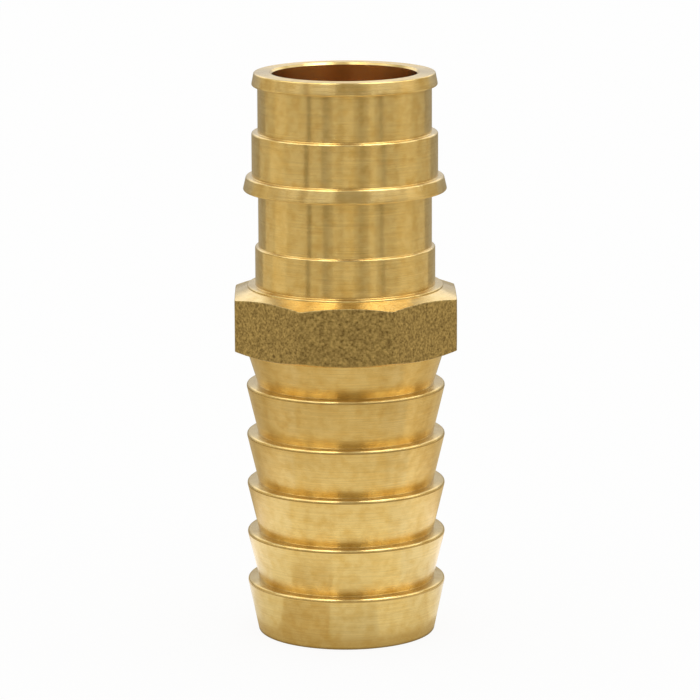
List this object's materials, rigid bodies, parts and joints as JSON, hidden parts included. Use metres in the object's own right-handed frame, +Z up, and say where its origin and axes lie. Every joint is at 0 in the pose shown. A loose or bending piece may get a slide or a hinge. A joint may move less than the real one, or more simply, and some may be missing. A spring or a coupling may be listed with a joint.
{
  "type": "pex insert adapter",
  "caption": "Brass pipe adapter with a stepped insert for expanded PEX tube, an octagonal wrench collar and a barbed tail for clamped poly pipe.",
  "frame": {"origin": "centre of the barbed tail's end face, which the part stands on", "axes": "+Z up the bore, from the barbed tail to the PEX insert; -Y square to the front wrench flat"},
  "size_m": [0.0314, 0.0314, 0.0808],
  "materials": {
    "brass": "bare brass, turned and satin on the round surfaces, as forged and matt on the wrench flats"
  },
  "bodies": {
    "root": {"adapter_body": "brass"}
  },
  "joints": []
}
